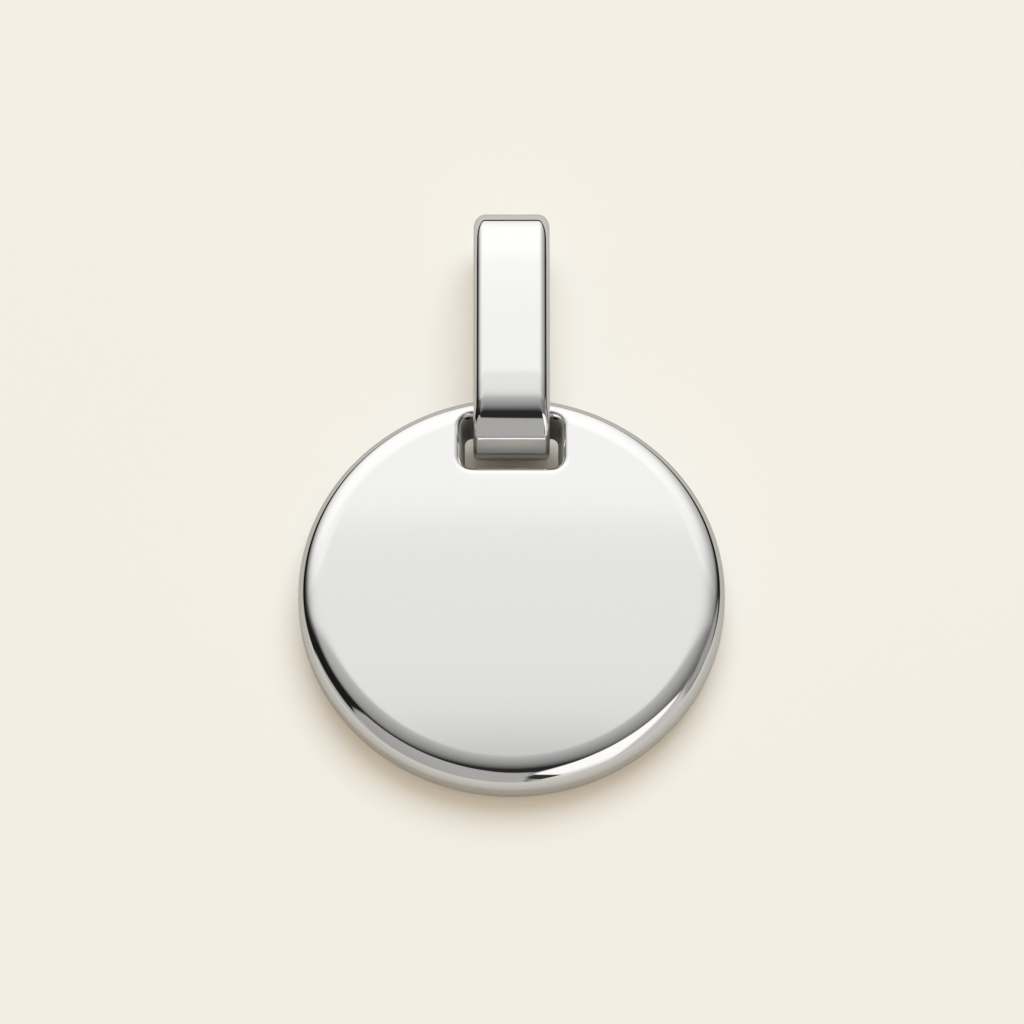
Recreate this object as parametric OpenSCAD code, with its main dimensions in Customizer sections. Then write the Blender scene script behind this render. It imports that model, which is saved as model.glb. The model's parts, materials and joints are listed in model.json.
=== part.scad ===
// Round pendant with a loop bail, polished silver, millimetres.
// A thick domed disc has a slot cut through it near its rim. The strip of metal that the slot leaves
// at the rim is the bridge, and a flat band bent into a closed loop, the bail, hangs round it.
// The pendant lies as it would on a table: the bail flat on its back, the disc leaning on its lower
// edge with its bridge inside the bail. +Y points from the disc to the bail and +Z up. The origin is
// on the table, under the middle of the whole length and width.

/* [Disc] */
// Diameter of the disc
disc_d = 15; // [13:0.5:20]
// Thickness of the disc where its dome starts, at the rim
disc_t = 1.92; // [1.6:0.02:1.98]
// Radius of the rim, front and back
rim_r = 0.78; // [0.5:0.01:0.78]
// Rise of the domed front at the disc's centre
dome_h = 0.25; // [0.05:0.01:0.6]

/* [Slot] */
// Width of the bridge between the slot and the rim
bridge_w = 0.98; // [0.75:0.01:1]
// Length of the slot across the disc
slot_w = 3.44; // [3.1:0.02:4]
// Height of the slot
slot_h = 1.89; // [1.8:0.01:2.4]
// Corner radius of the slot
slot_corner_r = 0.36; // [0.3:0.01:0.6]
// Rounding of the slot's front edge
slot_front_r = 0.3; // [0.2:0.01:0.35]
// Rounding of the slot's back edge
slot_back_r = 0.24; // [0.2:0.01:0.3]

/* [Bail] */
// Width of the bail's band
bail_w = 2.7; // [2:0.05:2.8]
// Thickness of the band
bail_t = 0.58; // [0.5:0.01:0.6]
// Depth of the loop from front to back
bail_depth = 3.34; // [3.3:0.01:3.6]
// Length of the loop
bail_len = 9.44; // [6:0.02:14]
// Rounding of the band's outer edges
bail_outer_r = 0.4; // [0.1:0.01:0.45]
// Rounding of the band's inner edges
bail_inner_r = 0.08; // [0.02:0.01:0.1]

/* [Fit] */
// Distance of the bail's swing axis from the rim, inwards
swing_in = 0.39; // [0.34:0.01:0.42]

/* [Hidden] */
$fn = 96;
SILVER = [0.86, 0.86, 0.85];
// How far a cutter runs past the faces that it cuts
OVER = 1;

disc_r = disc_d / 2;
rim_y = disc_r - rim_r;
// The dome is a cap of a sphere that the rim's front rounding meets without an edge.
dome_r = rim_r + (rim_y * rim_y + dome_h * dome_h) / (2 * dome_h);
dome_z = disc_t + dome_h - dome_r;
// Radius on the disc at which the dome runs into the rim's rounding
dome_edge = rim_y * dome_r / (dome_r - rim_r);

slot_top = disc_r - bridge_w;
slot_bottom = slot_top - slot_h;
slot_y = (slot_top + slot_bottom) / 2;
// Centres of the slot's round corners, from its middle
corner_x = slot_w / 2 - slot_corner_r;
corner_y = slot_h / 2 - slot_corner_r;
// Lean of the domed front at the slot, and its height there
slot_lean = asin(slot_y / dome_r);
slot_z = dome_z + sqrt(dome_r * dome_r - slot_y * slot_y);

bail_r = bail_depth / 2;
bail_run = bail_len - bail_depth;

// The swing axis, in the disc's own frame, lies halfway through its rim's thickness.
swing_y = disc_r - swing_in;
swing_z = disc_t / 2;
// The disc leans on the rounding of its lower back edge, a long way from the swing axis.
lean_y = rim_y + swing_y;
lean_z = swing_z - rim_r;
lean = asin((bail_r - rim_r) / norm([lean_y, lean_z])) - atan2(lean_z, lean_y);
// Reach of the disc from the swing axis, along -Y, once it leans
disc_reach = lean_y * cos(lean) + lean_z * sin(lean) + rim_r;
bail_reach = bail_run + bail_r;
axis_y = (disc_reach - bail_reach) / 2;
axis_z = bail_r;

// Rectangle with rounded corners, centred
module rounded_rect(w, h, r) {
    square([w - 2 * r, h], center = true);
    square([w, h - 2 * r], center = true);
    for (x = [-1, 1], y = [-1, 1])
        translate([x * (w / 2 - r), y * (h / 2 - r)]) circle(r);
}

// Half of the disc's outline, from its axis to its rim
module disc_outline() {
    intersection() {
        square([dome_edge, disc_t + dome_h]);
        translate([0, dome_z]) circle(dome_r, $fn = 720);
        translate([0, rim_r]) square([dome_edge, disc_t + dome_h]);
    }
    square([rim_y, disc_t - rim_r]);
    translate([0, rim_r]) square([disc_r, disc_t - 2 * rim_r]);
    for (z = [rim_r, disc_t - rim_r])
        translate([rim_y, z]) circle(rim_r);
}

// Metal to take off the edge of the slot, so that the edge is rounded with radius r.
// The slot's edge lies in the plane z = 0, and the metal is below it.
module edge_round(r) {
    for (side = [-1, 1]) {
        translate([side * slot_w / 2, 0, -r]) rotate([0, 0, side < 0 ? 180 : 0])
            edge_strip(slot_h - 2 * slot_corner_r, r);
        translate([0, side * slot_h / 2, -r]) rotate([0, 0, side * 90])
            edge_strip(slot_w - 2 * slot_corner_r, r);
    }
    for (quarter = [0:3])
        rotate([0, 0, quarter * 90])
            translate([quarter % 2 == 0 ? corner_x : corner_y, quarter % 2 == 0 ? corner_y : corner_x, -r])
                rotate_extrude(angle = 90) translate([slot_corner_r, 0]) edge_section(r);
}

// Section of the metal that rounding an edge takes off, reaching into the slot on its left
module edge_section(r) {
    difference() {
        translate([-slot_corner_r / 2, 0]) square([r + slot_corner_r / 2, r + OVER]);
        translate([r, 0]) circle(r);
    }
}

// One straight stretch of that metal, along Y
module edge_strip(length, r) {
    rotate([90, 0, 0]) linear_extrude(length, center = true) edge_section(r);
}

// The disc lying flat, with its centre on the Z axis and its back on z = 0
module flat_disc() {
    difference() {
        rotate_extrude($fn = 240) disc_outline();
        translate([0, slot_y, -OVER]) linear_extrude(disc_t + dome_h + 2 * OVER)
            rounded_rect(slot_w, slot_h, slot_corner_r);
        translate([0, slot_y, slot_z]) rotate([-slot_lean, 0, 0]) edge_round(slot_front_r);
        translate([0, slot_y, 0]) rotate([180, 0, 0]) edge_round(slot_back_r);
    }
}

module disc() {
    color(SILVER)
        translate([0, axis_y, axis_z]) rotate([lean, 0, 0]) translate([0, -swing_y, -swing_z])
            flat_disc();
}

// Section of the bail's band, as far from the Y axis as the band is from a bend's centre.
// Two wide rounded rectangles overlap in it, one with the outer rounding and one with the inner.
module band() {
    intersection() {
        translate([bail_r - 1.5 * bail_t, 0]) rounded_rect(3 * bail_t, bail_w, bail_outer_r);
        translate([bail_r + 0.5 * bail_t, 0]) rounded_rect(3 * bail_t, bail_w, bail_inner_r);
    }
}

// The loop lies in the XY plane with its first bend round the origin and its length along X.
module loop() {
    rotate([0, 0, 90]) rotate_extrude(angle = 180) band();
    translate([bail_run, 0, 0]) rotate([0, 0, -90]) rotate_extrude(angle = 180) band();
    for (turn = [0, 180])
        translate([bail_run / 2, 0, 0]) rotate([turn, 0, 0])
            rotate([90, 0, 90]) linear_extrude(bail_run, center = true) band();
}

module bail() {
    color(SILVER)
        translate([0, axis_y, axis_z]) rotate([90, 0, 90]) loop();
}

disc();
bail();
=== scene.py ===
"""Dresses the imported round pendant: a polished silver disc and the loop bail in its slot."""

import json
import logging
import math
from dataclasses import dataclass
from enum import Enum, IntEnum
from typing import Callable

import bmesh
import bpy
from mathutils import Matrix, Vector


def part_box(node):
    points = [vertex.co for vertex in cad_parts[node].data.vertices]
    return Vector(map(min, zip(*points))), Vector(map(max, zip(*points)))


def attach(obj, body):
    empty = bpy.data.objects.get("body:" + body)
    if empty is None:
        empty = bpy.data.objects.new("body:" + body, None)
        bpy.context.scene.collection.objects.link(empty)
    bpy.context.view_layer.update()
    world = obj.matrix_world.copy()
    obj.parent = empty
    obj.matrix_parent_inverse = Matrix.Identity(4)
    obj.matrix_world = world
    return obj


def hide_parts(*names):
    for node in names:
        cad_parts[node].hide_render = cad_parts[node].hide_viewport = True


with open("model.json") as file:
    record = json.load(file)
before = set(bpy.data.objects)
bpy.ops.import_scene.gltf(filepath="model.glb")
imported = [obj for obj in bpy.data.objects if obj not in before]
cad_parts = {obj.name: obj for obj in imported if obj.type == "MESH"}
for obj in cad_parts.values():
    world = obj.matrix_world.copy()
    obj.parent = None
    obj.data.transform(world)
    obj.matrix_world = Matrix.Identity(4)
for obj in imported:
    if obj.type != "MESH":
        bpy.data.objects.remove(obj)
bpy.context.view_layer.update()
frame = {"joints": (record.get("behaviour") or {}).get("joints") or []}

MM = 0.001
# Name of the layer that holds each vertex's spoke
SPOKE = "spoke"
# Vertices closer together than this are one
MERGE_DISTANCE = 0.001 * MM
# Slack in metres where a vertex is held against a limit
SLIVER = 1e-7
# Least length of a direction's flat part, so that the zenith has a place in the chart
LEAST_FLAT = 1e-6

Point = tuple[float, float, float]
Colour = tuple[float, float, float]
Span = tuple[float, float]
Stops = tuple[tuple[float, float], ...]
Socket = bpy.types.NodeSocket
Value = Socket | float | tuple[float, ...]

log = logging.getLogger("pendant")


class Side(Enum):
    """The two faces of the disc."""

    FRONT = 1
    BACK = -1


class DiscFinish(IntEnum):
    """The disc's materials in slot order: polish, then painted shade and light in the slot."""

    POLISHED = 0
    SAWN = 1
    SATIN = 2


class Shaping(Enum):
    """How a smooth step runs from its low to its high end."""

    EVEN = "LINEAR"
    SOFT = "SMOOTHSTEP"


def select_none() -> None:
    """Leaves no object selected, in object mode."""
    if bpy.context.object is not None and bpy.context.object.mode != "OBJECT":
        bpy.ops.object.mode_set(mode="OBJECT")
    bpy.ops.object.select_all(action="DESELECT")


def finish_mesh(name: str) -> bpy.types.Object:
    """Closes the mesh being edited, points its faces outwards and puts its place in its mesh.

    Args:
        name: The piece's name, which its mesh takes too.

    Returns:
        The finished object, smooth, in object mode and at the origin.
    """
    bpy.ops.mesh.select_all(action="SELECT")
    bpy.ops.mesh.remove_doubles(threshold=MERGE_DISTANCE)
    bpy.ops.mesh.normals_make_consistent(inside=False)
    bpy.ops.object.mode_set(mode="OBJECT")
    piece = bpy.context.object
    piece.name = name
    piece.data.name = name
    bpy.ops.object.transform_apply(location=True, rotation=True, scale=True)
    bpy.ops.object.shade_smooth()
    return piece


@dataclass
class Disc:
    """The domed disc with its slot, as a closed ring of metal round the slot.

    Lengths are in metres. The mesh is a ring of edges that is extruded from station to station:
    out over the front, round the rim, back over the back and up the slot's wall. Each vertex of
    the ring stays on its own spoke, which runs from the slot to the rim.

    Attributes:
        diameter: Width of the disc.
        axis_y: Place of the bail's swing axis, along the row frame's Y.
        axis_z: Height of that axis.
        thickness: Thickness of the disc under its dome.
        rim_r: Rounding of the rim, front and back.
        soft_r: Softer rounding between the front and the rim's rounding.
        soft_end: Angle from the disc's axis at which the one gives way to the other.
        dome: Rise of the domed front.
        bridge: Width of the bridge between the slot and the rim.
        slot_w: Width of the slot, halfway through the disc.
        slot_h: Height of the slot there.
        corner_r: Radius of the slot's corners there.
        taper: How far its walls stand back from there at the front, and forward at the back.
        front_r: Rounding of the slot's front edge.
        back_r: Rounding of the slot's back edge.
        swing_in: Distance of the swing axis from the rim, inwards.
        shade_end: Share of the front rounding's radius that stays polished, above the painted
            shade.
        edge: Width of the close points beside the rim.
        rim_share: Most that they take of a short spoke.
        slot_share: Most that the close points beside the slot take of a spoke.
        share_power: How sharply edge gives way to rim_share.
        spokes: Number of spokes.
        face_rings: Steps of a spoke over the open face.
        rim_rings: Steps beside the rim.
        slot_rings: Steps beside the slot.
        wall_rings: Steps up the slot's wall.
    """

    diameter: float
    axis_y: float
    axis_z: float
    thickness: float = 1.92 * MM
    rim_r: float = 0.78 * MM
    soft_r: float = 1.6 * MM
    soft_end: float = math.radians(19.5)
    dome: float = 0.25 * MM
    bridge: float = 0.98 * MM
    slot_w: float = 3.44 * MM
    slot_h: float = 1.89 * MM
    corner_r: float = 0.36 * MM
    taper: float = 0.07 * MM
    front_r: float = 0.3 * MM
    back_r: float = 0.24 * MM
    swing_in: float = 0.39 * MM
    shade_end: float = 0.4
    edge: float = 1.05 * MM
    rim_share: float = 0.6
    slot_share: float = 0.34
    share_power: int = 4
    spokes: int = 288
    face_rings: int = 26
    rim_rings: int = 28
    slot_rings: int = 10
    wall_rings: int = 4

    def __post_init__(self) -> None:
        """Works out the derived sizes, as the disc's own frame has them."""
        self.r = self.diameter / 2
        self.rim_c = self.r - self.rim_r
        self.rim_z = self.thickness - self.rim_r
        self.soft_c = self.rim_c - (self.soft_r - self.rim_r) * math.sin(self.soft_end)
        self.soft_z = self.rim_z - (self.soft_r - self.rim_r) * math.cos(self.soft_end)
        self.soft_edge = self.rim_c + self.rim_r * math.sin(self.soft_end)
        rise = self.thickness + self.dome - self.soft_z
        self.dome_r = (self.soft_c**2 + rise**2 - self.soft_r**2) / (2 * (rise - self.soft_r))
        self.dome_z = self.thickness + self.dome - self.dome_r
        self.dome_edge = self.soft_c * self.dome_r / (self.dome_r - self.soft_r)
        self.slot_y = self.r - self.bridge - self.slot_h / 2
        self.swing_y = self.r - self.swing_in
        self.swing_z = self.thickness / 2

    def lean(self) -> float:
        """Works out how far the disc leans, with its lower back edge on the surface.

        Returns:
            The angle in radians.
        """
        y = self.rim_c + self.swing_y
        z = self.swing_z - self.rim_r
        return math.asin((self.axis_z - self.rim_r) / math.hypot(y, z)) - math.atan2(z, y)

    def place(self) -> Matrix:
        """Works out where the disc lies.

        Returns:
            The matrix from the disc's own frame to the row frame.
        """
        swing = Matrix.Translation((0, self.axis_y, self.axis_z))
        home = Matrix.Translation((0, -self.swing_y, -self.swing_z))
        return swing @ Matrix.Rotation(self.lean(), 4, "X") @ home

    def level(self, rho: float, side: Side) -> float:
        """Height of a face at a distance from the disc's axis, rim rounding included.

        Args:
            rho: Distance from the axis.
            side: The face.

        Returns:
            The height above the disc's back plane.
        """
        past = min(max(rho - self.rim_c, 0.0), self.rim_r)
        rise = math.sqrt(self.rim_r**2 - past**2)
        if side is Side.BACK:
            return self.rim_r - rise
        if rho < self.dome_edge:
            return self.dome_z + math.sqrt(self.dome_r**2 - rho**2)
        if rho < self.soft_edge:
            return self.soft_z + math.sqrt(self.soft_r**2 - (rho - self.soft_c) ** 2)
        return self.rim_z + rise

    def slot_edge(self, x: float, y: float, side: Side) -> tuple[float, float]:
        """The point of the slot's outline that lies nearest to a point outside it.

        Args:
            x: The point's place across the disc.
            y: Its place along the disc.
            side: The face, as the slot is a little wider at the front than at the back.

        Returns:
            The outline's point.
        """
        cx = self.slot_w / 2 - self.corner_r
        cy = self.slot_h / 2 - self.corner_r
        near_x = min(max(x, -cx), cx)
        near_y = min(max(y - self.slot_y, -cy), cy)
        away = Vector((x - near_x, y - self.slot_y - near_y)).normalized()
        away *= self.corner_r + side.value * self.taper
        return near_x + away.x, near_y + self.slot_y + away.y

    def spoke(self, number: int, side: Side) -> tuple[Vector, Vector]:
        """The ends of a spoke on one face.

        Args:
            number: The spoke's number, clockwise from the top.
            side: The face.

        Returns:
            Its end on the slot's outline and its end on the rim.
        """
        turn = math.tau * (number + 0.5) / self.spokes
        rim = Vector((self.r * math.sin(turn), self.r * math.cos(turn)))
        return Vector(self.slot_edge(rim.x, rim.y, side)), rim

    def on_face(self, x: float, y: float, side: Side) -> Point:
        """A point of a face, with the rim's and the slot's rounding.

        Args:
            x: Place across the disc.
            y: Place along the disc.
            side: The face.

        Returns:
            The point in the disc's own frame.
        """
        rounding = self.front_r if side is Side.FRONT else self.back_r
        edge = self.slot_edge(x, y, side)
        inside = max(rounding - math.hypot(x - edge[0], y - edge[1]), 0.0)
        drop = rounding - math.sqrt(max(rounding**2 - inside**2, 0.0))
        return x, y, self.level(math.hypot(x, y), side) - side.value * drop

    def face_spots(self, number: int, side: Side) -> list[Point]:
        """The points of one spoke over one face, closer together at both its ends.

        The close ones take at most slot_share of the spoke beside the slot, and beside the rim
        the smooth minimum of edge and of rim_share of the spoke.

        Args:
            number: The spoke's number.
            side: The face.

        Returns:
            The points, from the slot's wall to the rim's.
        """
        slot, rim = self.spoke(number, side)
        gap = (rim - slot).length
        rounding = self.front_r if side is Side.FRONT else self.back_r
        by_slot = min(rounding, self.slot_share * gap)
        power = self.share_power
        by_rim = (self.edge**-power + (self.rim_share * gap) ** -power) ** (-1 / power)
        out = (rim - slot).normalized()
        spots = [
            slot + out * by_slot * (1 - math.cos(math.pi / 2 * k / self.slot_rings))
            for k in range(self.slot_rings + 1)
        ]
        start, end = spots[-1], rim * ((self.r - by_rim) / self.r)
        spots += [start.lerp(end, k / self.face_rings) for k in range(1, self.face_rings)]
        spots += [
            rim * ((self.r - by_rim * (1 - math.sin(math.pi / 2 * k / self.rim_rings))) / self.r)
            for k in range(self.rim_rings + 1)
        ]
        return [self.on_face(p.x, p.y, side) for p in spots]

    def section(self, number: int) -> list[Point]:
        """The loop of points that one spoke has.

        Args:
            number: The spoke's number.

        Returns:
            The points, out over the front, home over the back and up the slot's wall.
        """
        front = self.face_spots(number, Side.FRONT)
        back = self.face_spots(number, Side.BACK)[::-1]
        foot, head = Vector(back[-1]), Vector(front[0])
        wall = [tuple(foot.lerp(head, k / self.wall_rings)) for k in range(1, self.wall_rings)]
        return front + back + wall

    def build(self) -> bpy.types.Object:
        """Models the disc and dresses it.

        Returns:
            The disc's object.
        """
        sections = [self.section(k) for k in range(self.spokes)]
        select_none()
        bpy.ops.mesh.primitive_circle_add(vertices=self.spokes, radius=self.r, enter_editmode=True)
        bpy.ops.mesh.select_mode(type="EDGE")
        self.number_spokes()
        self.lay_ring(sections, 0)
        for station in [*range(1, len(sections[0])), 0]:
            bpy.ops.mesh.extrude_edges_move()
            self.lay_ring(sections, station)
        self.mark_walls()
        bpy.context.object.matrix_world = self.place()
        disc = finish_mesh("silver_disc")
        self.dress(disc)
        return disc

    @staticmethod
    def dress(disc: bpy.types.Object) -> None:
        """Gives the disc its finishes, in the order of DiscFinish.

        Args:
            disc: The disc's object.
        """
        # The slot's walls get the dark grey of painted shade, and its foot the lighter grey of
        # painted light
        finishes = {
            DiscFinish.POLISHED: MIRROR_POLISH.make("disc_silver"),
            DiscFinish.SAWN: PAINTED_SHADE_GREY.make("slot_wall_painted_shade"),
            DiscFinish.SATIN: PAINTED_LIGHT_GREY.make("slot_foot_painted_light"),
        }
        stand_for(disc, "disc", *(finishes[slot] for slot in DiscFinish))

    def mark_walls(self) -> None:
        """Marks the slot's walls with a dark grey of painted shade, and the wall at its foot,
        facing +Y, with a lighter grey of painted light.

        The painted shade ends inside the front rounding, at shade_end of its radius below the face,
        and the painted light ends where the rounding starts.
        """
        mesh = bpy.context.object.data
        disc = bmesh.from_edit_mesh(mesh)
        for face in disc.faces:
            middle = face.calc_center_median()
            in_slot = math.hypot(middle.x, middle.y) < self.rim_c
            foot = middle.y < self.slot_y - self.slot_h / 2 + self.corner_r
            end = (1.0 if foot else self.shade_end) * self.front_r
            face_z = self.level(math.hypot(middle.x, middle.y), Side.FRONT)
            # Walls in the slot get painted shade, and the foot, which faces the light, gets painted
            # light
            if in_slot and self.back_r < middle.z < face_z - end:
                face.material_index = DiscFinish.SATIN if foot else DiscFinish.SAWN
        bmesh.update_edit_mesh(mesh)

    @staticmethod
    def number_spokes() -> None:
        """Writes each vertex's spoke on it, which the extrusions copy."""
        mesh = bpy.context.object.data
        ring = bmesh.from_edit_mesh(mesh)
        tag = ring.verts.layers.int.new(SPOKE)
        for number, v in enumerate(ring.verts):
            v[tag] = number
        bmesh.update_edit_mesh(mesh)

    @staticmethod
    def lay_ring(sections: list[list[Point]], station: int) -> None:
        """Puts the selected ring of vertices at a station of their spokes.

        Args:
            sections: Each spoke's points.
            station: The place along them.
        """
        mesh = bpy.context.object.data
        ring = bmesh.from_edit_mesh(mesh)
        tag = ring.verts.layers.int[SPOKE]
        for v in ring.verts:
            if v.select:
                v.co = sections[v[tag]][station]
        bmesh.update_edit_mesh(mesh)


@dataclass
class Bail:
    """The flat band bent into a long loop.

    Lengths are in metres. A section of the band is modelled in the middle of the loop's front, then
    drawn and spun once round the loop: over a shallow shoulder into the far bend, home along the
    flat back, round the near bend and over its shoulder to the middle again.

    Attributes:
        width: Width of the band.
        depth: Depth of the loop, from its front to its back.
        length: Length of the loop.
        axis_y: Place of the swing axis, the middle of the near bend, along the row frame's Y.
        axis_z: Height of that axis.
        thickness: Thickness of the band.
        outer_across: Rounding of the band's outer edges, measured across the band.
        outer_deep: The same rounding, measured through the band.
        inner_r: Rounding of the band's inner edges.
        shoulder_r: Radius of the shoulders.
        shoulder: Lean of the front where a shoulder meets its bend.
        bow: Lean of the front where the bowed middle meets a shoulder.
        tight_across: What outer_across comes down to round the near bend.
        tight_deep: What outer_deep comes down to there.
        tight_from: Angle past the bend's start at which that begins.
        tight_over: Angle that it takes.
        corner_steps: Steps of a rounded edge.
        bend_steps: Steps of a bend.
        shoulder_steps: Steps of a shoulder.
        run_steps: Steps of a straight or bowed run.
    """

    width: float
    depth: float
    length: float
    axis_y: float
    axis_z: float
    thickness: float = 0.58 * MM
    outer_across: float = 0.42 * MM
    outer_deep: float = 0.49 * MM
    inner_r: float = 0.08 * MM
    shoulder_r: float = 10 * MM
    shoulder: float = math.radians(7.5)
    bow: float = math.radians(1.2)
    tight_across: float = 0.2 * MM
    tight_deep: float = 0.22 * MM
    tight_from: float = math.radians(12)
    tight_over: float = math.radians(32)
    corner_steps: int = 16
    bend_steps: int = 80
    shoulder_steps: int = 12
    run_steps: int = 4

    def __post_init__(self) -> None:
        """Works out the bends, the run between them and the shoulders that they meet."""
        self.r = self.depth / 2
        self.run = self.length - self.depth
        self.shoulder_y = (self.shoulder_r - self.r) * math.sin(self.shoulder)
        self.shoulder_z = self.axis_z - (self.shoulder_r - self.r) * math.cos(self.shoulder)
        self.bow_r = self.shoulder_r + (self.run / 2 - self.shoulder_y) / math.sin(self.bow)
        self.bow_z = self.shoulder_z - (self.bow_r - self.shoulder_r) * math.cos(self.bow)

    def add_section(self) -> None:
        """Models the band's section in the middle of the front and leaves its outline selected."""
        stretch = self.outer_deep / self.outer_across
        front_z = self.bow_z + self.bow_r
        middle = (0, self.axis_y + self.run / 2, front_z - self.thickness / 2)
        bpy.ops.mesh.primitive_plane_add(
            size=1, enter_editmode=True, location=middle, rotation=(math.pi / 2, 0, 0)
        )
        bpy.ops.transform.resize(
            value=(self.width, 1, self.thickness / stretch), center_override=middle
        )
        self.round_corners(lambda height: height > 0, self.outer_across)
        bpy.ops.mesh.select_all(action="SELECT")
        bpy.ops.transform.resize(value=(1, 1, stretch), center_override=middle)
        self.round_corners(lambda height: height < self.inner_r - self.thickness / 2, self.inner_r)
        bpy.ops.mesh.select_all(action="SELECT")
        bpy.ops.mesh.delete(type="ONLY_FACE")
        bpy.ops.mesh.select_all(action="SELECT")

    def round_corners(self, chosen: Callable[[float], bool], radius: float) -> None:
        """Rounds corners of the flat section.

        Args:
            chosen: Says of a corner's height above the section's middle whether it is rounded.
            radius: The corners' radius.
        """
        bpy.ops.mesh.select_all(action="DESELECT")
        bpy.ops.mesh.select_mode(type="VERT")
        mesh = bpy.context.object.data
        flat = bmesh.from_edit_mesh(mesh)
        for v in flat.verts:
            v.select_set(chosen(v.co.y))
        bmesh.update_edit_mesh(mesh)
        bpy.ops.mesh.bevel(
            offset=radius, segments=self.corner_steps, affect="VERTICES", clamp_overlap=False
        )

    def turn(self, y: float, z: float, angle: float, steps: int) -> None:
        """Spins the selected outline on round the loop, about a place along it and a height."""
        bpy.ops.mesh.spin(steps=steps, angle=angle, center=(0, y, z), axis=(1, 0, 0))

    def draw_out(self, way: float) -> None:
        """Draws the selected outline straight along the loop.

        Args:
            way: How far towards +Y.
        """
        for _ in range(self.run_steps):
            step = (0, way / self.run_steps, 0)
            bpy.ops.mesh.extrude_edges_move(TRANSFORM_OT_translate={"value": step})

    def build(self) -> bpy.types.Object:
        """Models the bail and dresses it.

        Returns:
            The bail's object.
        """
        select_none()
        self.add_section()
        bend, past_bow = math.pi - self.shoulder, self.shoulder - self.bow
        middle_y, far_y = self.axis_y + self.run / 2, self.axis_y + self.run
        self.turn(middle_y, self.bow_z, self.bow, self.run_steps)
        self.turn(far_y - self.shoulder_y, self.shoulder_z, past_bow, self.shoulder_steps)
        self.turn(far_y, self.axis_z, bend, self.bend_steps)
        self.draw_out(-self.run)
        self.turn(self.axis_y, self.axis_z, bend, self.bend_steps)
        self.turn(self.axis_y + self.shoulder_y, self.shoulder_z, past_bow, self.shoulder_steps)
        self.turn(middle_y, self.bow_z, self.bow, self.run_steps)
        self.tighten()
        bail = finish_mesh("silver_bail")
        self.dress(bail)
        return bail

    @staticmethod
    def dress(bail: bpy.types.Object) -> None:
        """Gives the bail its finish."""
        stand_for(bail, "bail", MIRROR_POLISH.make("bail_silver"))

    def tighten(self) -> None:
        """Draws the band's outer corners out over the near bend, where they are less rounded.

        The change starts tight_from past the bend's start and takes the angle tight_over.
        """
        piece = bpy.context.object
        home = piece.matrix_world.inverted()
        loop = bmesh.from_edit_mesh(piece.data)
        for v in loop.verts:
            spot = piece.matrix_world @ v.co
            out = Vector((spot.y - self.axis_y, spot.z - self.axis_z))
            if out.x > 0:
                continue
            turned = math.atan2(-out.x, abs(out.y))
            share = min(max((turned - self.tight_from) / self.tight_over, 0.0), 1.0)
            # The change starts and ends smoothly.
            share *= share * (3 - 2 * share)
            across, deep = self.width / 2 - abs(spot.x), self.r - out.length
            if across > self.outer_across + SLIVER or deep > self.outer_deep + SLIVER:
                continue
            across *= 1 + share * (self.tight_across / self.outer_across - 1)
            deep *= 1 + share * (self.tight_deep / self.outer_deep - 1)
            out *= (self.r - deep) / out.length
            side = math.copysign(self.width / 2 - across, spot.x)
            v.co = home @ Vector((side, self.axis_y + out.x, self.axis_z + out.y))
        bmesh.update_edit_mesh(piece.data)


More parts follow.
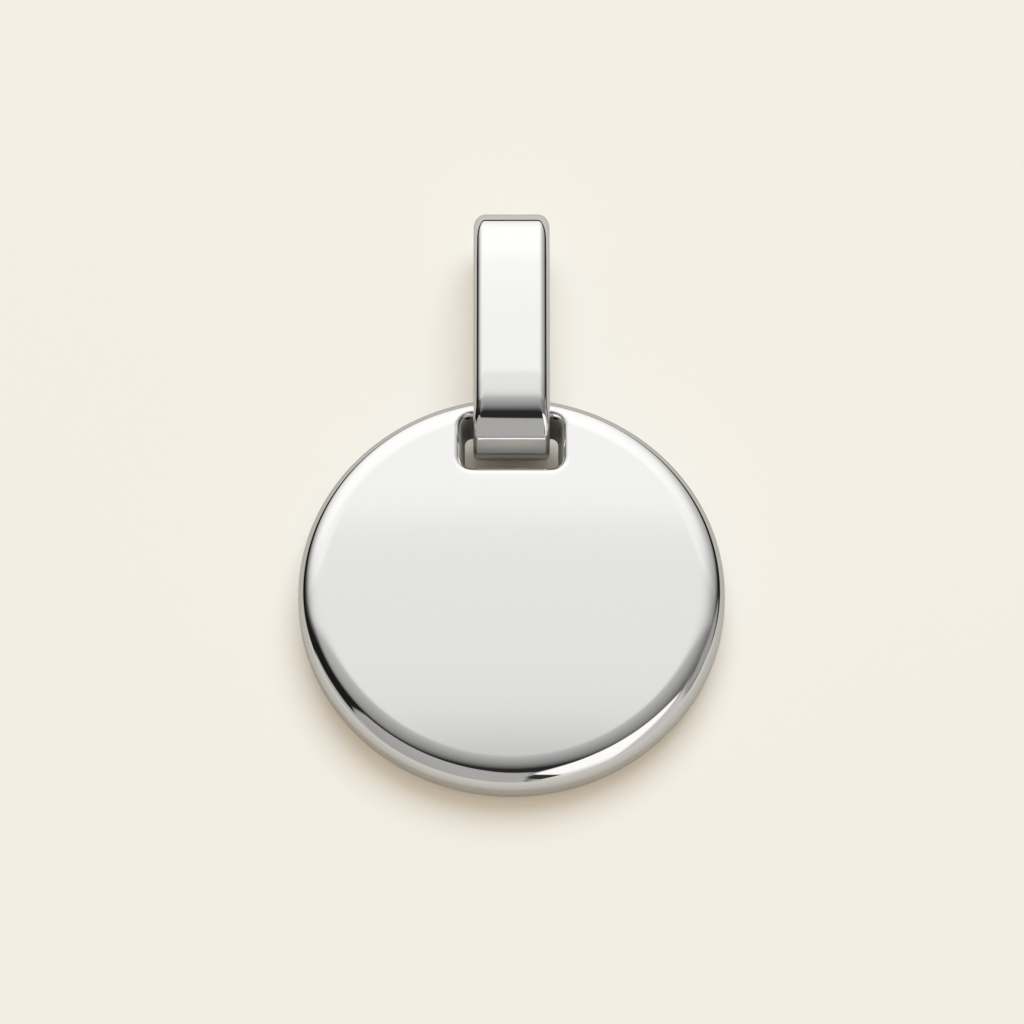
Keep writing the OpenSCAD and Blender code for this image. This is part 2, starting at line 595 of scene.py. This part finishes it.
class Sheet:
    """The node sheet of a material or of the world, with short calls for its nodes."""

    def __init__(self, tree: bpy.types.NodeTree) -> None:
        """Takes a node sheet and empties it."""
        self.tree = tree
        tree.nodes.clear()

    def node(self, kind: str, **values: float | tuple[float, ...]) -> bpy.types.Node:
        """Adds a node.

        Args:
            kind: The node's type.
            values: Its sockets' values by name, with underscores for spaces.

        Returns:
            The node.
        """
        made = self.tree.nodes.new(kind)
        for name, value in values.items():
            made.inputs[name.replace("_", " ")].default_value = value
        return made

    def feed(self, socket: Socket, value: Value) -> None:
        """Links a socket to another one, or sets it to a value.

        Args:
            socket: The input.
            value: The output that feeds it, or its value.
        """
        if isinstance(value, Socket):
            self.tree.links.new(value, socket)
        else:
            socket.default_value = value

    def show(self, shader: Socket, output: str = "ShaderNodeOutputMaterial") -> None:
        """Links a shader to the sheet's output, a material's by default."""
        self.feed(self.node(output).inputs["Surface"], shader)

    def place(self) -> Socket:
        """The place of the surface in the row frame."""
        return self.node("ShaderNodeTexCoord").outputs["Object"]

    def math(self, operation: str, first: Value, second: Value = 0.0) -> Socket:
        """One step of arithmetic on sockets or numbers.

        Args:
            operation: The Math node's operation.
            first: Its first input.
            second: Its second input.

        Returns:
            The result's socket.
        """
        made = self.node("ShaderNodeMath")
        made.operation = operation
        self.feed(made.inputs[0], first)
        self.feed(made.inputs[1], second)
        return made.outputs[0]

    def dot(self, spot: Socket, row: Point) -> Socket:
        """The dot product of a spot and three numbers.

        Args:
            spot: The spot's socket.
            row: The three numbers.

        Returns:
            The result's socket.
        """
        made = self.node("ShaderNodeVectorMath")
        made.operation = "DOT_PRODUCT"
        self.feed(made.inputs[0], spot)
        made.inputs[1].default_value = row
        return made.outputs["Value"]

    def split(self, spot: Socket) -> bpy.types.NodeOutputs:
        """Takes a spot apart.

        Args:
            spot: The spot's socket.

        Returns:
            The sockets of its three numbers.
        """
        made = self.node("ShaderNodeSeparateXYZ")
        self.feed(made.inputs[0], spot)
        return made.outputs

    def step(
        self,
        value: Socket,
        low: float,
        high: float,
        start: float = 0.0,
        end: float = 1.0,
        shaping: Shaping = Shaping.SOFT,
    ) -> Socket:
        """Maps a value between two limits to a value between two others.

        Args:
            value: The socket that is mapped.
            low: Where the step starts.
            high: Where it ends.
            start: The result up to its start.
            end: The result past its end.
            shaping: How it runs between them.

        Returns:
            The result's socket.
        """
        made = self.node("ShaderNodeMapRange")
        made.interpolation_type = shaping.value
        made.clamp = True
        for socket, number in zip(made.inputs, (value, low, high, start, end)):
            self.feed(socket, number)
        return made.outputs[0]

    def curve(self, value: Socket, stops: Stops) -> Socket:
        """Reads a tone off a smooth curve.

        Args:
            value: The socket that the curve is read at.
            stops: The curve's points, from low to high, each with its tone from 0 to 1.

        Returns:
            The tone's socket.
        """
        low, high = stops[0][0], stops[-1][0]
        made = self.node("ShaderNodeValToRGB")
        ramp = made.color_ramp
        ramp.interpolation = "B_SPLINE"
        while len(ramp.elements) < len(stops):
            ramp.elements.new(0.5)
        for element, (place, tone) in zip(ramp.elements, stops):
            element.position = (place - low) / (high - low)
            element.color = (tone, tone, tone, 1)
        self.feed(made.inputs["Fac"], self.step(value, low, high, shaping=Shaping.EVEN))
        return made.outputs["Color"]

    def noise(self, place: Socket, size: float, detail: float) -> Socket:
        """Cloudy noise over a surface.

        Args:
            place: The place that it is read at.
            size: The size of its clouds.
            detail: How many finer layers it has.

        Returns:
            The noise's socket, about 0.3 to 0.7.
        """
        made = self.node("ShaderNodeTexNoise", Scale=1 / size, Detail=detail, Roughness=0.5)
        self.feed(made.inputs["Vector"], place)
        return made.outputs["Fac"]

    def before_floor(self) -> Socket:
        """Tells what the metal mirrors straight to the eye from light on its way to the floor.

        Returns:
            A socket that is 1 for the former and 0 for the latter.
        """
        ray = self.node("ShaderNodeLightPath")
        straight = self.math("LESS_THAN", ray.outputs["Diffuse Depth"], 0.5)
        return self.math("MULTIPLY", ray.outputs["Is Glossy Ray"], straight)

    def blend(self, amount: Value, under: Value, over: Value) -> Socket:
        """Mixes two colours.

        Args:
            amount: How much of the second one there is, from 0 to 1.
            under: The first colour or its socket.
            over: The second colour or its socket.

        Returns:
            The mixed colour's socket.
        """
        made = self.node("ShaderNodeMix")
        made.data_type = "RGBA"
        self.feed(made.inputs[0], amount)
        self.feed(made.inputs[6], under)
        self.feed(made.inputs[7], over)
        return made.outputs[2]


def new_material(name: str) -> tuple[bpy.types.Material, Sheet]:
    """Makes an empty material.

    Args:
        name: Its name.

    Returns:
        The material and its node sheet.
    """
    material = bpy.data.materials.new(name)
    material.use_nodes = True
    return material, Sheet(material.node_tree)


@dataclass(frozen=True)
class SilverFinish:
    """A finish of sterling silver, by default a hand-buffed mirror polish.

    To light on its way from the floor it is a plain surface of the bounce colour, which stands for
    the light that polished metal throws on the floor round it.

    Attributes:
        colour: Colour of the metal.
        metallic: How much of a metal it is, 0 for the flat greys of painted shade and light.
        roughness: Least and most roughness, which change in soft patches.
        buffing_size: Size of those patches.
        buffing_span: Stretch of the noise that runs from the one to the other.
        haze_size: Size of the fine ripple that buffing leaves.
        ripple: Strength of that ripple.
        ripple_height: Height of that ripple.
        bounce: Colour that it has to light on its way from the floor.
    """

    colour: Colour = (0.955, 0.95, 0.938)
    metallic: float = 1.0
    roughness: Span = (0.035, 0.06)
    buffing_size: float = 1.3 * MM
    buffing_span: Span = (0.3, 0.7)
    haze_size: float = 0.06 * MM
    ripple: float = 0.015
    ripple_height: float = 0.001 * MM
    bounce: Colour = (0.95, 0.93, 0.9)

    def make(self, name: str) -> bpy.types.Material:
        """Makes the material.

        Args:
            name: The material's name.

        Returns:
            The material.
        """
        material, sheet = new_material(name)
        place = sheet.place()
        bump = sheet.node("ShaderNodeBump", Strength=self.ripple, Distance=self.ripple_height)
        sheet.feed(bump.inputs["Height"], sheet.noise(place, self.haze_size, detail=2))
        buffing = sheet.noise(place, self.buffing_size, detail=3)
        metal = sheet.node(
            "ShaderNodeBsdfPrincipled", Base_Color=(*self.colour, 1), Metallic=self.metallic
        )
        sheet.feed(
            metal.inputs["Roughness"], sheet.step(buffing, *self.buffing_span, *self.roughness)
        )
        sheet.feed(metal.inputs["Normal"], bump.outputs["Normal"])
        plain = sheet.node("ShaderNodeBsdfDiffuse", Color=(*self.bounce, 1))
        ray = sheet.node("ShaderNodeLightPath")
        body = sheet.node("ShaderNodeMixShader")
        sheet.feed(body.inputs[0], ray.outputs["Is Diffuse Ray"])
        sheet.feed(body.inputs[1], metal.outputs["BSDF"])
        sheet.feed(body.inputs[2], plain.outputs["BSDF"])
        sheet.show(body.outputs[0])
        return material


# The slot's walls throw hardly any light back on the floor
SLOT_BOUNCE = (0.1, 0.08, 0.06)
MIRROR_POLISH = SilverFinish()
# Dark grey on the slot's walls: painted shade, for the shade that they lie in inside the slot
PAINTED_SHADE_GREY = SilverFinish(
    colour=(0.34, 0.342, 0.335), metallic=0.0, roughness=(0.4, 0.55), bounce=SLOT_BOUNCE
)
# Lighter grey on the slot's foot, which faces the light: painted light, the lit copy of the walls'
# grey
PAINTED_LIGHT_GREY = SilverFinish(
    colour=(0.58, 0.57, 0.56), metallic=0.0, roughness=(0.5, 0.6), bounce=SLOT_BOUNCE
)


@dataclass(frozen=True)
class PaleGround:
    """The warm off-white surface that the pendant lies on.

    In the metal's reflections it is painted a little dimmer, with painted shade close to the
    pendant, and it ends in the painted dark of the room on both sides behind it and far beyond it.

    Attributes:
        colour: Colour of the surface.
        shade: Brightness of its darker clouds, as a share.
        cloud_size: Size of the clouds.
        mirrored: Brightness that it is painted with in the metal's reflections.
        mirrored_near: The same close to the pendant, darker there as painted shade.
        mirrored_saturation: Strength of the colour in the reflections.
        near: Distances from the pendant between which the one brightness becomes the other.
        aside: Distances to either side between which the dark sets in, behind the pendant.
        behind: Places along Y between which that part behind the pendant begins.
        beyond: Places along Y between which the dark sets in all over.
    """

    colour: Colour = (0.88, 0.87, 0.85)
    shade: float = 0.985
    cloud_size: float = 30 * MM
    mirrored: float = 0.66
    mirrored_near: float = 0.52
    mirrored_saturation: float = 0.15
    near: Span = (9 * MM, 18 * MM)
    aside: Span = (12 * MM, 21 * MM)
    behind: Span = (-5 * MM, 2 * MM)
    beyond: Span = (30 * MM, 45 * MM)

    def make(self) -> bpy.types.Material:
        """Makes the ground's material.

        Returns:
            The material.
        """
        material, sheet = new_material("pale_ground")
        place = sheet.place()
        shaded = (*(self.shade * part for part in self.colour), 1.0)
        clouds = sheet.noise(place, self.cloud_size, detail=2)
        # Only in the metal's reflections is the ground painted dimmer, with painted shade near the
        # pendant
        dimmed = sheet.node("ShaderNodeHueSaturation", Saturation=self.mirrored_saturation)
        sheet.feed(dimmed.inputs["Value"], self.mirrored_tone(sheet, place))
        sheet.feed(dimmed.inputs["Fac"], sheet.before_floor())
        sheet.feed(dimmed.inputs["Color"], sheet.blend(clouds, (*self.colour, 1.0), shaded))
        card = sheet.node("ShaderNodeBsdfPrincipled", Roughness=1.0, Specular_IOR_Level=0.0)
        sheet.feed(card.inputs["Base Color"], dimmed.outputs["Color"])
        sheet.show(card.outputs["BSDF"])
        return material

    def mirrored_tone(self, sheet: Sheet, place: Socket) -> Socket:
        """How bright the ground is painted in the metal, darker near the pendant as painted shade.

        Args:
            sheet: The material's node sheet.
            place: The place on the ground.

        Returns:
            The tone's socket, 1 being as bright as seen straight.
        """
        x, y, _ = sheet.split(place)
        aside = sheet.step(sheet.math("ABSOLUTE", x), *self.aside)
        behind = sheet.step(y, *self.behind)
        beyond = sheet.step(y, *self.beyond)
        # Painted dark of the room, behind the pendant on both sides and far beyond it
        dark = sheet.math("MAXIMUM", sheet.math("MULTIPLY", aside, behind), beyond)
        away = sheet.node("ShaderNodeVectorMath")
        away.operation = "LENGTH"
        sheet.feed(away.inputs[0], place)
        # Painted shade close to the pendant, seen only in the metal's reflections
        tone = sheet.step(away.outputs["Value"], *self.near, self.mirrored_near, self.mirrored)
        return sheet.math("MULTIPLY", tone, sheet.math("SUBTRACT", 1.0, dark))


@dataclass(frozen=True)
class Card:
    """A flat card or cloth that stands round the pendant, as the pendant sees it.

    Its corners lie in the studio's chart, a round map of the sky with the zenith in the middle:
    degrees from the zenith towards +X and towards +Y. They run clockwise, and the card's edges
    between them are straight and soft.

    Attributes:
        corners: The corners.
        tone: How bright the card is.
        soft: Half the width of its soft edges, in degrees.
        far_tone: Tone at the corner halfway through the list, negative where the card is even.
        warmth: How much less blue it gives than red.
    """

    corners: tuple[tuple[float, float], ...]
    tone: float
    soft: float = 1.5
    far_tone: float = -1.0
    warmth: float = 0.03

    def colour(self, tone: float) -> tuple[float, float, float, float]:
        """The card's colour at a tone, a little warm."""
        return tone, tone * (1 - self.warmth / 2), tone * (1 - self.warmth), 1.0

    def mask(self, sheet: Sheet, spot: Socket) -> Socket:
        """How far a spot of the chart lies on the card, from 0 to 1.

        Args:
            sheet: The world's node sheet.
            spot: The spot, with 1 as its third number.

        Returns:
            The mask's socket.
        """
        inside = None
        for (x0, y0), (x1, y1) in zip(self.corners, self.corners[1:] + self.corners[:1]):
            length = math.hypot(x1 - x0, y1 - y0)
            inward = Vector(((y1 - y0) / length, (x0 - x1) / length))
            depth = sheet.dot(spot, (inward.x, inward.y, -inward.dot(Vector((x0, y0)))))
            inside = depth if inside is None else sheet.math("MINIMUM", inside, depth)
        return sheet.step(inside, -self.soft, self.soft)

    def lay(self, sheet: Sheet, spot: Socket, under: Value) -> Socket:
        """Lays the card over what the chart holds so far.

        Args:
            sheet: The world's node sheet.
            spot: The spot of the chart.
            under: The colour below.

        Returns:
            The colour's socket with the card on it.
        """
        colour = self.colour(self.tone)
        if self.far_tone >= 0:
            start, end = Vector(self.corners[0]), Vector(self.corners[len(self.corners) // 2])
            along = (end - start) / (end - start).length_squared
            share = sheet.dot(spot, (along.x, along.y, -along.dot(start)))
            colour = sheet.blend(share, colour, self.colour(self.far_tone))
        return sheet.blend(self.mask(sheet, spot), under, colour)


DARK_CORNER = Card(
    ((-95, 28), (-66, 24), (-52, 10), (-31, 0), (-21, -11), (-12, -24), (-12, -45), (-95, -45)),
    tone=0.01,
    soft=7,
)
GRAY_CLOTH = Card(
    (
        (-76, -28), (-60, -22.5), (-51, -16), (-42, -14.5), (-34, -18.5), (-22, -25.5),
        (-10, -33), (-3, -38), (-3, -95), (-76, -95),
    ),
    tone=0.34,
    far_tone=0.41,
)
GRAY_END = Card(((-14, -36), (7, -40), (7, -95), (-14, -95)), tone=0.4, soft=2)
WHITE_CARD = Card(
    (
        (7, -54), (9.5, -41), (14, -30), (20, -21.5), (27, -17), (40, -13), (52, -11),
        (56, -13), (59, -24), (60, -95), (24, -90),
    ),
    tone=1.03,
    soft=2,
)
WHITE_FOOT = Card(((12, -75), (66, -61), (66, -95), (12, -95)), tone=0.68, soft=11)
RIGHT_CLOTH = Card(((58, -8), (95, -25), (95, -95), (62, -95), (55, -45)), tone=0.55, soft=6)
RIGHT_BOARD = Card(
    ((60, 3), (75, 21), (86, 34), (92, 10), (84, -20), (66, -14)), tone=0.33, soft=3
)
LEFT_CLOTH = Card(
    ((-95, 4), (-86, 3), (-76, -15), (-72, -30), (-72, -95), (-95, -95)), tone=0.45, soft=3
)
DARK_GAP = Card(((7.5, -51), (26, -74), (16, -82), (8.5, -74)), tone=0.03)


@dataclass
class Studio:
    """The floor, the light and the camera round the pendant.

    Lengths are in metres and angles in degrees. What the metal mirrors is a ceiling whose tone
    follows three curves over the chart, a dark skirting round the horizon, and the cards on top.

    Attributes:
        ground_radius: Radius of the floor.
        ground_inset: Share of that radius that its outer ring of faces takes.
        ground_sides: Number of its sides.
        backdrop: Colour that the camera sees past the floor.
        camera_tilt: How far the camera stands from straight above.
        lens: Focal length in millimetres.
        distance: Distance of the camera from the point that it aims at.
        clip: Least and most distance that it sees.
        aim: The point that it aims at.
        ambient: Colour of the light from all round, outside the metal's reflections.
        key_place: Place of the key light, which faces the origin.
        key_size: Width of the key light.
        key_power: Its power in watts.
        key_colour: Its colour.
        ceiling_power: How bright the ceiling is.
        ceiling_least: What is added to it all over.
        ceiling_left: Its tones along X, on the left.
        ceiling_right: Its tones along X, on the right.
        ceiling_along: Its tones along Y.
        skirting_aside: Places to either side between which the skirting sets in.
        skirting_angle: Angles from the zenith between which it sets in.
        skirting_tone: How bright the skirting is.
        cards: The cards, each one over those before it.
    """

    ground_radius: float = 0.9
    ground_inset: float = 0.9
    ground_sides: int = 96
    backdrop: Colour = (0.878, 0.855, 0.783)
    camera_tilt: float = 27.2
    lens: float = 500.0
    distance: float = 0.5017
    clip: Span = (10 * MM, 2.0)
    aim: Point = (0.015 * MM, -0.28 * MM, 1.214 * MM)
    ambient: Colour = (0.66, 0.575, 0.455)
    key_place: Point = (0.1, 0.5, 1.0)
    key_size: float = 1.0
    key_power: float = 7.75
    key_colour: Colour = (0.78, 0.9, 1.0)
    ceiling_power: float = 1.06
    ceiling_least: float = 0.01
    ceiling_left: Stops = (
        (-78, 0.0), (-70, 0.12), (-60, 0.47), (-50, 0.7), (-38, 0.9), (-25, 1.0), (10, 1.0),
    )
    ceiling_right: Stops = (
        (10, 1.0), (22, 0.92), (31, 0.77), (40, 0.58), (50, 0.47), (61, 0.35), (70, 0.16),
        (77, 0.0),
    )
    ceiling_along: Stops = (
        (-22, 0.0), (-18, 0.057), (-14, 0.123), (-8, 0.226), (3, 0.349), (11, 0.434),
        (13, 0.519), (15, 0.726), (18, 0.758), (21, 0.758), (23.5, 0.774), (25, 0.9),
        (28, 0.87), (31, 0.95), (36, 1.0), (60, 1.0), (77, 0.95), (90, 0.76),
    )
    skirting_aside: Span = (20, 66)
    skirting_angle: Span = (83, 88)
    skirting_tone: float = 0.02
    cards: tuple[Card, ...] = (
        DARK_CORNER, GRAY_CLOTH, GRAY_END, WHITE_CARD, WHITE_FOOT,
        RIGHT_CLOTH, RIGHT_BOARD, LEFT_CLOTH, DARK_GAP,
    )

    def add_ground(self) -> bpy.types.Object:
        """Lays the floor.

        Returns:
            The floor's object.
        """
        select_none()
        bpy.ops.mesh.primitive_circle_add(
            vertices=self.ground_sides,
            radius=self.ground_radius,
            fill_type="NGON",
            enter_editmode=True,
        )
        bpy.ops.mesh.inset(thickness=self.ground_radius * self.ground_inset)
        ground = finish_mesh("ground")
        ground.data.materials.append(PaleGround().make())
        return ground

    def add_camera(self) -> bpy.types.Object:
        """Puts the camera where the photographer's stood.

        Returns:
            The camera's object.
        """
        tilt = math.radians(self.camera_tilt)
        towards = Vector((0, -math.sin(tilt), math.cos(tilt)))
        select_none()
        bpy.ops.object.camera_add(
            location=Vector(self.aim) + towards * self.distance, rotation=(tilt, 0, 0)
        )
        camera = bpy.context.object
        camera.name = "camera"
        camera.data.lens = self.lens
        camera.data.clip_start, camera.data.clip_end = self.clip
        bpy.context.scene.camera = camera
        return camera

    def add_key(self) -> bpy.types.Object:
        """Hangs the wide soft light that draws the shadow, up behind and a little to the right.

        Returns:
            The light's object.
        """
        select_none()
        place = Vector(self.key_place)
        bpy.ops.object.light_add(type="AREA", location=place)
        key = bpy.context.object
        key.name = "key_light"
        key.rotation_euler = place.to_track_quat("Z", "Y").to_euler()
        key.data.shape = "DISK"
        key.data.size = self.key_size
        key.data.energy = self.key_power
        key.data.color = self.key_colour
        key.visible_glossy = False
        return key

    @staticmethod
    def chart(sheet: Sheet) -> tuple[Socket, Socket, Socket, Socket]:
        """Turns a direction into a spot of the round map of the sky, in degrees from the zenith.

        Args:
            sheet: The world's node sheet.

        Returns:
            How far the spot lies towards +X and towards +Y, both with 1 as a vector, and the
            angle from the zenith.
        """
        x, y, z = sheet.split(sheet.node("ShaderNodeTexCoord").outputs["Generated"])
        angle = sheet.math("DEGREES", sheet.math("ARCCOSINE", z))
        squares = sheet.math("ADD", sheet.math("MULTIPLY", x, x), sheet.math("MULTIPLY", y, y))
        flat = sheet.math("MAXIMUM", sheet.math("SQRT", squares), LEAST_FLAT)
        scale = sheet.math("DIVIDE", angle, flat)
        spot = sheet.node("ShaderNodeCombineXYZ", Z=1)
        right, up = sheet.math("MULTIPLY", x, scale), sheet.math("MULTIPLY", y, scale)
        sheet.feed(spot.inputs[0], right)
        sheet.feed(spot.inputs[1], up)
        return right, up, spot.outputs[0], angle

    def mirrored_sky(self, sheet: Sheet) -> Socket:
        """Draws what the metal mirrors of the room.

        Args:
            sheet: The world's node sheet.

        Returns:
            The colour's socket.
        """
        right, up, spot, angle = self.chart(sheet)
        left_half = sheet.curve(right, self.ceiling_left)
        across = sheet.math("MULTIPLY", left_half, sheet.curve(right, self.ceiling_right))
        along = sheet.curve(up, self.ceiling_along)
        lit = sheet.math("MULTIPLY", sheet.math("MULTIPLY", across, along), self.ceiling_power)
        ceiling = sheet.math("ADD", lit, self.ceiling_least)
        aside = sheet.step(sheet.math("ABSOLUTE", right), *self.skirting_aside)
        skirting = sheet.math("MULTIPLY", sheet.step(angle, *self.skirting_angle), aside)
        sky = sheet.blend(skirting, ceiling, (*(self.skirting_tone,) * 3, 1.0))
        for card in self.cards:
            sky = card.lay(sheet, spot, sky)
        return sky

    def add_world(self) -> bpy.types.World:
        """Sets the light that comes from all round: what the metal mirrors, and a warm fill.

        Returns:
            The world.
        """
        world = bpy.data.worlds.new("studio")
        world.use_nodes = True
        bpy.context.scene.world = world
        sheet = Sheet(world.node_tree)
        sky = self.mirrored_sky(sheet)
        lit = sheet.blend(sheet.before_floor(), (*self.ambient, 1.0), sky)
        ray = sheet.node("ShaderNodeLightPath")
        seen = sheet.blend(ray.outputs["Is Camera Ray"], lit, (*self.backdrop, 1.0))
        back = sheet.node("ShaderNodeBackground")
        sheet.feed(back.inputs["Color"], seen)
        sheet.show(back.outputs["Background"], "ShaderNodeOutputWorld")
        return world

    def build(self) -> None:
        """Sets up the floor, the light and the camera."""
        bpy.context.scene.view_settings.view_transform = "Standard"
        for part in (self.add_ground(), self.add_camera(), self.add_key(), self.add_world()):
            log.info("%s: in place on the stage", part.name)


def stand_for(piece: bpy.types.Object, node: str, *finishes: bpy.types.Material) -> None:
    """Gives a piece its finishes and the place of the node that it stands for.

    Args:
        piece: The piece.
        node: The node, whose body has the same name.
        finishes: Its materials, the main one first.
    """
    for finish in finishes:
        piece.data.materials.append(finish)
    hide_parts(node)
    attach(piece, node)


def main() -> None:
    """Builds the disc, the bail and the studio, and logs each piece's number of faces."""
    logging.basicConfig(level=logging.INFO, format="%(name)s: %(message)s")
    _, axis_y, axis_z = frame["joints"][0]["pos_m"]
    low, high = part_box("disc")
    disc = Disc(diameter=high.x - low.x, axis_y=axis_y, axis_z=axis_z)
    low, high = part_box("bail")
    bail = Bail(
        width=high.x - low.x,
        depth=high.z - low.z,
        length=high.y - low.y,
        axis_y=axis_y,
        axis_z=axis_z,
    )
    for piece in (disc.build(), bail.build()):
        log.info("%s: %d faces", piece.name, len(piece.data.polygons))
    Studio().build()


if __name__ == "__main__":
    main()
